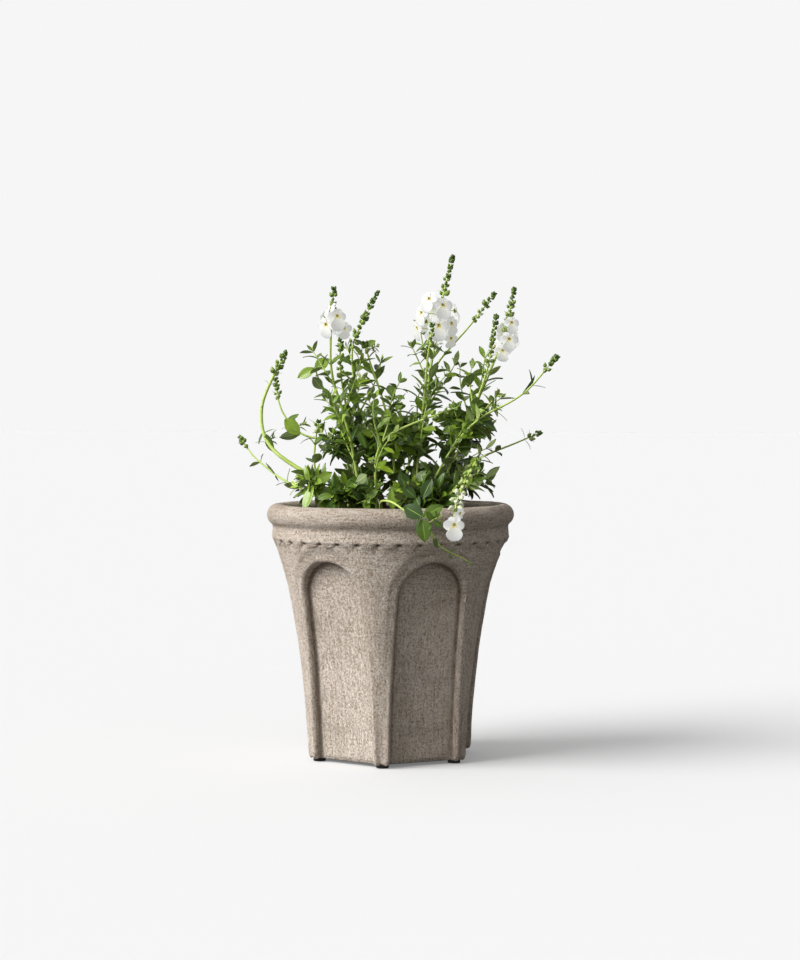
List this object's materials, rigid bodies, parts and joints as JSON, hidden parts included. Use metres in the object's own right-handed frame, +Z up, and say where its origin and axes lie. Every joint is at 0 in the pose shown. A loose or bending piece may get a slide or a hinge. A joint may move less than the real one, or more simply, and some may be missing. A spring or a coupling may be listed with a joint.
{
  "type": "planted garden pot",
  "caption": "Tall six-sided garden pot with a rolled round rim and arched side panels, on small feet, holding a lift-out planting of white flowers.",
  "frame": {"origin": "middle of the pot's footprint on the ground", "axes": "+Z up along the pot's axis; -Y towards the corner of the pot that faces forward"},
  "size_m": [0.4014, 0.3633, 0.6052],
  "materials": {
    "pot": "matte",
    "foot": "matte",
    "liner": "matte",
    "soil": "matte",
    "bark": "matte",
    "stem": "satin",
    "leaf": "satin",
    "petal": "satin",
    "bud": "satin"
  },
  "bodies": {
    "planter": {"foot_back": "foot", "foot_back_left": "foot", "foot_back_right": "foot", "foot_front": "foot", "foot_front_left": "foot", "foot_front_right": "foot", "planter_body": "pot"},
    "planting": {"bud_spikes": "bud", "flowers_centre": "petal", "flowers_front": "petal", "flowers_inner": "petal", "flowers_left": "petal", "flowers_right": "petal", "foliage_back_left": "leaf", "foliage_back_right": "leaf", "foliage_front_left": "leaf", "foliage_front_right": "leaf", "foliage_left": "leaf", "foliage_low_right": "leaf", "foliage_middle": "leaf", "foliage_right": "leaf", "grow_pot": "liner", "leaves_back_left": "leaf", "leaves_back_middle": "leaf", "leaves_back_right": "leaf", "leaves_back_trail": "leaf", "leaves_centre": "leaf", "leaves_front": "leaf", "leaves_inner_left": "leaf", "leaves_left_arch": "leaf", "leaves_left_high": "leaf", "leaves_left_side": "leaf", "leaves_low_right": "leaf", "leaves_right_arch": "leaf", "leaves_rim_left": "leaf", "potting_mix": "soil", "stem_back_left": "stem", "stem_back_middle": "stem", "stem_back_right": "stem", "stem_back_trail": "stem", "stem_centre_bloom": "stem", "stem_centre_bud": "stem", "stem_centre_shoot": "stem", "stem_cross": "stem", "stem_droop": "stem", "stem_front_trail": "stem", "stem_inner_left": "stem", "stem_left_arch": "stem", "stem_left_bloom": "stem", "stem_left_bud": "stem", "stem_left_curl": "stem", "stem_left_leaves": "stem", "stem_left_shoot": "stem", "stem_left_side": "stem", "stem_left_upright": "stem", "stem_right_bloom": "stem", "stem_right_bud": "stem", "stem_right_low": "stem", "stem_right_shoot": "stem", "woody_crown": "bark"}
  },
  "joints": [
    {"name": "planting_lift", "type": "slide", "parent": "planter", "child": "planting", "axis": [0, 0, 1], "range_m": [0, 0.3]}
  ]
}
